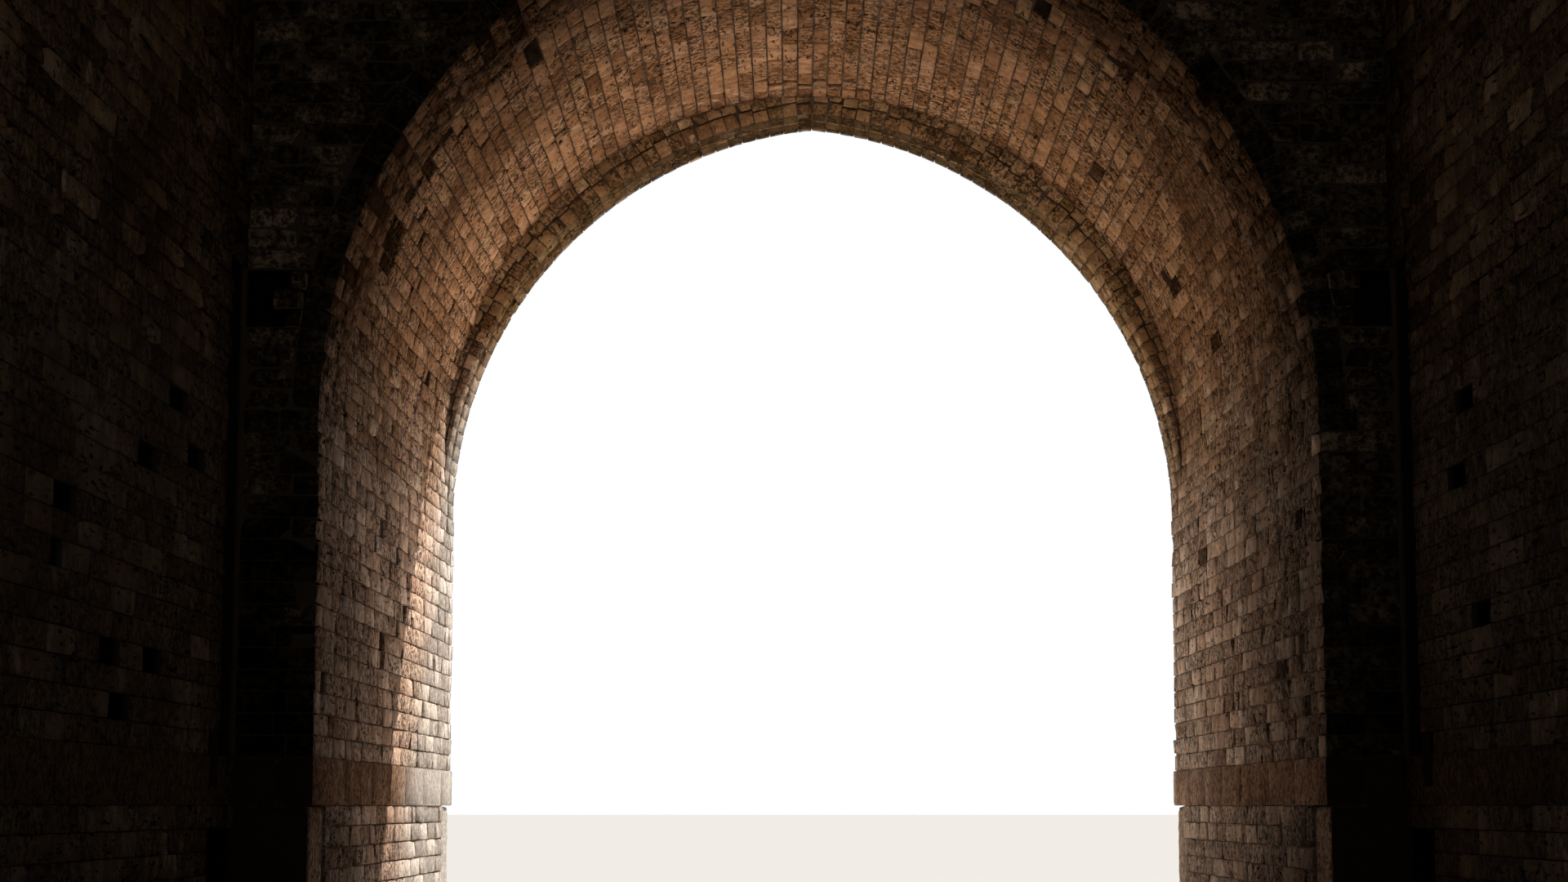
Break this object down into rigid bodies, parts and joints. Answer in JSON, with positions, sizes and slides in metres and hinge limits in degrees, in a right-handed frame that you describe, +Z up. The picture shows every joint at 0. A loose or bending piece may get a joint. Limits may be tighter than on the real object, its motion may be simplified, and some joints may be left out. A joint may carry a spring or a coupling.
{
  "type": "arched city gate",
  "caption": "Brick city gate block with a vaulted passage opening into a taller vaulted chamber, stone waist band, plain parapet",
  "frame": {"origin": "ground level at the middle of the plan", "axes": "+X along the wall line to the right as seen from the chamber mouth, +Y from the chamber through the passage to the outer face, +Z up"},
  "size_m": [17, 14.5, 11.5937],
  "materials": {
    "brick_inside": "worn dark brick with thin lime joints",
    "brick_vault": "rough eroded brick, warm brown",
    "brick_face": "weathered grey brick with pale lime joints",
    "brick_string": "smooth grey brick",
    "stone_waist": "smooth worn stone",
    "stone_corner": "smooth worn stone",
    "deck_paving": "worn square brick paving"
  },
  "bodies": {
    "root": {"plinth_chamber_left": "brick_inside", "plinth_passage_left": "brick_inside", "waist_course_chamber_left": "stone_waist", "waist_course_passage_left": "stone_waist", "wall_chamber_left": "brick_inside", "door_jamb_lower_left": "brick_inside", "door_jamb_upper_left": "brick_inside", "wall_passage_left": "brick_inside", "haunch_passage_left": "brick_face", "haunch_chamber_left": "brick_face", "plinth_chamber_right": "brick_inside", "plinth_passage_right": "brick_inside", "waist_course_chamber_right": "stone_waist", "waist_course_passage_right": "stone_waist", "wall_chamber_right": "brick_inside", "door_jamb_lower_right": "brick_inside", "door_jamb_upper_right": "brick_inside", "wall_passage_right": "brick_inside", "haunch_passage_right": "brick_face", "haunch_chamber_right": "brick_face", "corner_stones_mouth": "stone_corner", "corner_stones_door": "stone_corner", "corner_stones_outer": "stone_corner", "door_arch": "brick_vault", "outer_arch": "brick_vault", "passage_vault_ring_1": "brick_vault", "passage_vault_ring_2": "brick_vault", "passage_vault_ring_3": "brick_vault", "chamber_vault_ring_1": "brick_vault", "chamber_vault_ring_2": "brick_vault", "passage_cover_ring_1": "brick_vault", "passage_cover_ring_2": "brick_vault", "passage_cover_ring_3": "brick_vault", "chamber_cover_ring_1": "brick_vault", "chamber_cover_ring_2": "brick_vault", "crown_passage": "brick_face", "crown_chamber": "brick_face", "deck": "deck_paving", "string_course_city": "brick_string", "parapet_city": "brick_face", "coping_city": "brick_string", "string_course_outer": "brick_string", "parapet_outer": "brick_face", "coping_outer": "brick_string"}
  },
  "joints": []
}
